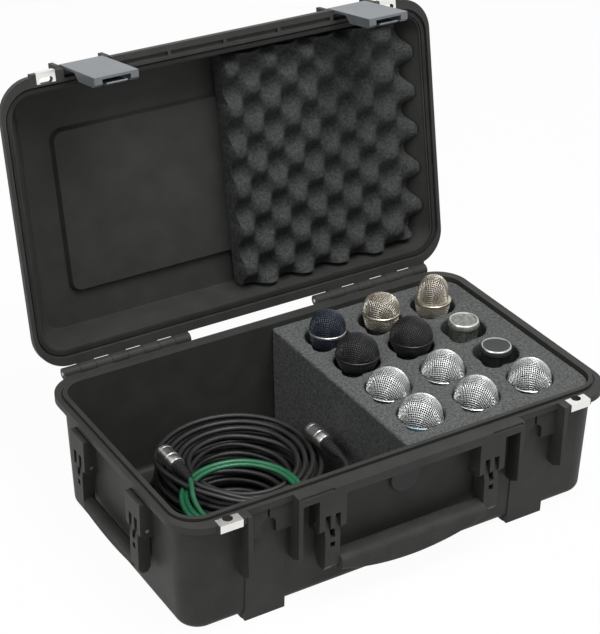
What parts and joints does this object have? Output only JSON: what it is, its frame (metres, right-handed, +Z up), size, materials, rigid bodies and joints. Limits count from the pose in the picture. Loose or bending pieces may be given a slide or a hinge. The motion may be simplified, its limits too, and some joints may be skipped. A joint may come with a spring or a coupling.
{
  "type": "microphone case",
  "caption": "Hard moulded carrying case with a hinged lid on two latches, foam sockets holding handheld microphones and an open compartment with coiled cables",
  "frame": {"origin": "middle of the whole case's box, lid open, on the surface it stands on", "axes": "+X to the right along the length, +Y to the hinges at the back, +Z up"},
  "size_m": [0.557, 0.4594, 0.4998],
  "materials": {
    "shell_plastic": "moulded matte",
    "black_plastic": "satin",
    "latch_plastic": "satin",
    "grip_rubber": "matte",
    "gasket_rubber": "matte",
    "steel": "satin",
    "nickel_plate": "plated",
    "foam": "open cell",
    "cable_black": "matte",
    "cable_green": "matte",
    "plug_metal": "satin",
    "mic_silver": "mesh grille",
    "mic_black": "mesh grille",
    "mic_blue": "mesh grille",
    "mic_champagne": "mesh grille"
  },
  "bodies": {
    "root": {"base_shell": "shell_plastic", "hinge_pin_left": "steel", "hinge_pin_right": "steel", "pressure_valve": "black_plastic", "padlock_plate_base_left": "nickel_plate", "padlock_plate_base_right": "nickel_plate", "front_handle_pins": "steel", "left_handle_pins": "steel", "right_handle_pins": "steel", "foam_block": "foam", "cable_black_lower": "cable_black", "cable_black_upper": "cable_black", "cable_green": "cable_green", "plugs_black_lower": "plug_metal", "plugs_black_upper": "plug_metal", "plugs_green": "plug_metal"},
    "lid": {"lid_shell": "shell_plastic", "lid_gasket": "gasket_rubber", "lid_foam": "foam", "padlock_plate_lid_left": "nickel_plate", "padlock_plate_lid_right": "nickel_plate", "latch_pin_left": "steel", "latch_pin_right": "steel"},
    "latch_left_body": {"latch_left": "latch_plastic", "trigger_pin_left": "steel", "trigger_spring_left": "steel"},
    "trigger_left_body": {"trigger_left": "latch_plastic"},
    "latch_right_body": {"latch_right": "latch_plastic", "trigger_pin_right": "steel", "trigger_spring_right": "steel"},
    "trigger_right_body": {"trigger_right": "latch_plastic"},
    "front_handle_body": {"front_handle": "shell_plastic", "front_grip": "grip_rubber"},
    "left_handle_body": {"left_handle": "shell_plastic", "left_grip": "grip_rubber"},
    "right_handle_body": {"right_handle": "shell_plastic", "right_grip": "grip_rubber"},
    "mic_01_body": {"mic_01": "mic_silver"},
    "mic_02_body": {"mic_02": "mic_silver"},
    "mic_03_body": {"mic_03": "mic_silver"},
    "mic_04_body": {"mic_04": "mic_silver"},
    "mic_05_body": {"mic_05": "mic_silver"},
    "mic_06_body": {"mic_06": "mic_black"},
    "mic_07_body": {"mic_07": "mic_black"},
    "mic_08_body": {"mic_08": "mic_black"},
    "mic_09_body": {"mic_09": "mic_silver"},
    "mic_10_body": {"mic_10": "mic_blue"},
    "mic_11_body": {"mic_11": "mic_champagne"},
    "mic_12_body": {"mic_12": "mic_champagne"}
  },
  "joints": [
    {"name": "lid_hinge", "type": "hinge", "parent": "root", "child": "lid", "pos_m": [0, 0.11831, 0.15], "axis": [-1, 0, 0], "range_deg": [-100, 0], "deforming": ["lid_foam"]},
    {"name": "latch_left_hinge", "type": "hinge", "parent": "lid", "child": "latch_left_body", "pos_m": [-0.169, 0.18992, 0.47551], "axis": [-1, 0, 0], "range_deg": [0, 110]},
    {"name": "trigger_left_hinge", "type": "hinge", "parent": "latch_left_body", "child": "trigger_left_body", "pos_m": [-0.169, 0.13495, 0.48622], "axis": [-1, 0, 0], "range_deg": [0, 7], "stiffness_Nm_per_rad": 0.02},
    {"name": "latch_right_hinge", "type": "hinge", "parent": "lid", "child": "latch_right_body", "pos_m": [0.169, 0.18992, 0.47551], "axis": [-1, 0, 0], "range_deg": [0, 110]},
    {"name": "trigger_right_hinge", "type": "hinge", "parent": "latch_right_body", "child": "trigger_right_body", "pos_m": [0.169, 0.13495, 0.48622], "axis": [-1, 0, 0], "range_deg": [0, 7], "stiffness_Nm_per_rad": 0.02},
    {"name": "front_handle_hinge", "type": "hinge", "parent": "root", "child": "front_handle_body", "pos_m": [0, -0.21369, 0.104], "axis": [-1, 0, 0], "range_deg": [0, 95]},
    {"name": "left_handle_hinge", "type": "hinge", "parent": "root", "child": "left_handle_body", "pos_m": [-0.2705, -0.05369, 0.104], "axis": [0, 1, 0], "range_deg": [0, 95]},
    {"name": "right_handle_hinge", "type": "hinge", "parent": "root", "child": "right_handle_body", "pos_m": [0.2705, -0.05369, 0.104], "axis": [0, -1, 0], "range_deg": [0, 95]},
    {"name": "mic_01_lift", "type": "slide", "parent": "root", "child": "mic_01_body", "axis": [0, 0, 1], "range_m": [0, 0.17]},
    {"name": "mic_02_lift", "type": "slide", "parent": "root", "child": "mic_02_body", "axis": [0, 0, 1], "range_m": [0, 0.17]},
    {"name": "mic_03_lift", "type": "slide", "parent": "root", "child": "mic_03_body", "axis": [0, 0, 1], "range_m": [0, 0.17]},
    {"name": "mic_04_lift", "type": "slide", "parent": "root", "child": "mic_04_body", "axis": [0, 0, 1], "range_m": [0, 0.17]},
    {"name": "mic_05_lift", "type": "slide", "parent": "root", "child": "mic_05_body", "axis": [0, 0, 1], "range_m": [0, 0.17]},
    {"name": "mic_06_lift", "type": "slide", "parent": "root", "child": "mic_06_body", "axis": [0, 0, 1], "range_m": [0, 0.17]},
    {"name": "mic_07_lift", "type": "slide", "parent": "root", "child": "mic_07_body", "axis": [0, 0, 1], "range_m": [0, 0.17]},
    {"name": "mic_08_lift", "type": "slide", "parent": "root", "child": "mic_08_body", "axis": [0, 0, 1], "range_m": [0, 0.17]},
    {"name": "mic_09_lift", "type": "slide", "parent": "root", "child": "mic_09_body", "axis": [0, 0, 1], "range_m": [0, 0.17]},
    {"name": "mic_10_lift", "type": "slide", "parent": "root", "child": "mic_10_body", "axis": [0, 0, 1], "range_m": [0, 0.17]},
    {"name": "mic_11_lift", "type": "slide", "parent": "root", "child": "mic_11_body", "axis": [0, 0, 1], "range_m": [0, 0.17]},
    {"name": "mic_12_lift", "type": "slide", "parent": "root", "child": "mic_12_body", "axis": [0, 0, 1], "range_m": [0, 0.17]}
  ]
}
